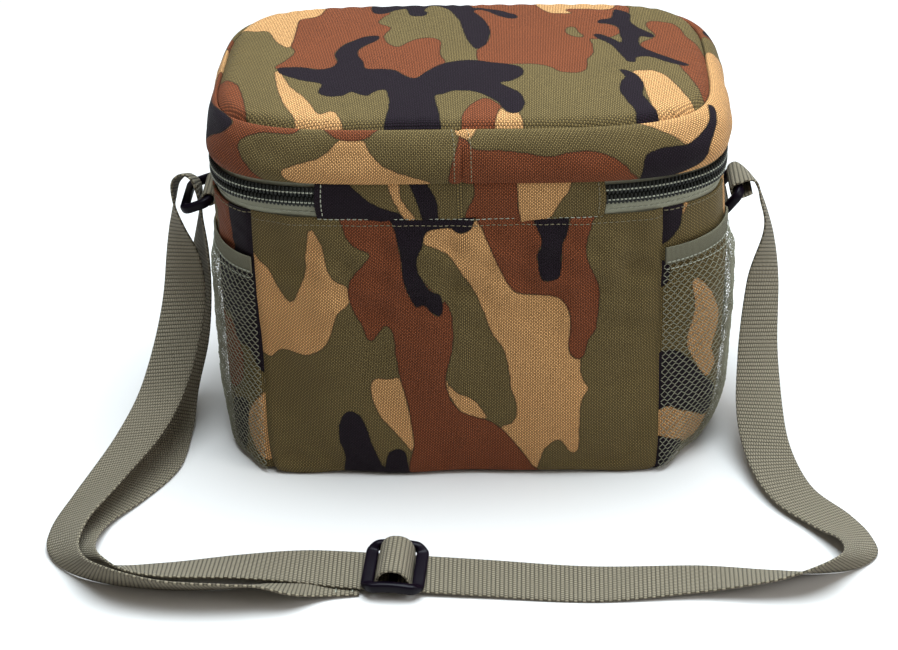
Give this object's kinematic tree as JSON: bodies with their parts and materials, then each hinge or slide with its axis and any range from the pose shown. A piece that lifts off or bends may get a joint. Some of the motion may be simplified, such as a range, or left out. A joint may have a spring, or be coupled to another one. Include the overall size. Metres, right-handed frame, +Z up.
{
  "type": "insulated cooler bag",
  "caption": "Soft rectangular insulated bag in woodland camouflage fabric with a zipped fold-back lid, mesh side pockets and an adjustable webbing shoulder strap.",
  "frame": {"origin": "middle of the bag's underside, at floor level", "axes": "+Z up, -Y towards the side that carries the lid hinge, +X to the right of somebody who looks at that side"},
  "size_m": [0.4137, 0.2893, 0.2035],
  "materials": {
    "outer_fabric": "woven polyester, woodland camouflage print",
    "foam": "closed-cell foam",
    "foil_lining": "silver foil laminate",
    "zip_tape": "grey-green woven tape",
    "zip_coil": "black nylon coil",
    "slider_metal": "black enamelled die-cast",
    "mesh": "knitted diamond net",
    "elastic": "ribbed elastic binding",
    "webbing": "ribbed polyester webbing",
    "black_plastic": "glossy moulded"
  },
  "bodies": {
    "base": {"bottom_panel": "outer_fabric", "front_panel": "outer_fabric", "back_panel": "outer_fabric", "side_panel_left": "outer_fabric", "side_panel_right": "outer_fabric", "insulation_wall": "foam", "insulation_base": "foam", "inner_liner": "foil_lining", "zipper_tape_lower": "zip_tape", "zipper_coil_lower": "zip_coil", "hinge_strip": "outer_fabric", "mesh_pocket_left": "mesh", "mesh_pocket_right": "mesh", "pocket_binding_left": "elastic", "pocket_binding_right": "elastic", "ring_tab_left": "webbing", "ring_tab_right": "webbing"},
    "lid": {"lid_top_panel": "outer_fabric", "lid_gusset": "outer_fabric", "lid_insulation": "foam", "lid_liner": "foil_lining", "zipper_tape_upper": "zip_tape", "zipper_coil_upper": "zip_coil"},
    "slider_left": {"slider_left": "slider_metal"},
    "slider_right": {"slider_right": "slider_metal"},
    "pull_left": {"slider_pull_left": "slider_metal"},
    "pull_right": {"slider_pull_right": "slider_metal"},
    "strap": {"shoulder_strap": "webbing"},
    "ring_left": {"ring_left": "black_plastic", "ring_loop_left": "webbing"},
    "ring_right": {"ring_right": "black_plastic", "ring_loop_right": "webbing"},
    "triglide": {"triglide": "black_plastic", "triglide_webbing": "webbing"}
  },
  "joints": [
    {"name": "lid_hinge", "type": "hinge", "parent": "base", "child": "lid", "pos_m": [0, -0.085, 0.162], "axis": [1, 0, 0], "range_deg": [0, 170]},
    {"name": "slider_left_slide", "type": "slide", "parent": "base", "child": "slider_left", "axis": [-1, 0, 0], "range_m": [0, 0.06]},
    {"name": "slider_right_slide", "type": "slide", "parent": "base", "child": "slider_right", "axis": [1, 0, 0], "range_m": [0, 0.06]},
    {"name": "pull_left_swing", "type": "hinge", "parent": "slider_left", "child": "pull_left", "pos_m": [-0.0095, 0.08775, 0.164], "axis": [0, 0, -1], "range_deg": [0, 90]},
    {"name": "pull_right_swing", "type": "hinge", "parent": "slider_right", "child": "pull_right", "pos_m": [0.0095, 0.08775, 0.164], "axis": [0, 0, 1], "range_deg": [0, 90]},
    {"name": "strap_swing", "type": "hinge", "parent": "base", "child": "strap", "pos_m": [0, 0, 0.123], "axis": [-1, 0, 0], "range_deg": [0, 120]},
    {"name": "ring_left_tilt", "type": "hinge", "parent": "strap", "child": "ring_left", "pos_m": [-0.148, 0, 0.1228], "axis": [0, -1, 0], "range_deg": [0, 10]},
    {"name": "ring_right_tilt", "type": "hinge", "parent": "strap", "child": "ring_right", "pos_m": [0.1434, 0, 0.1295], "axis": [0, -1, 0], "range_deg": [0, 15]},
    {"name": "triglide_slide", "type": "slide", "parent": "strap", "child": "triglide", "axis": [0.9973, -0.0682, -0.0263], "range_m": [-0.01, 0.04]}
  ]
}
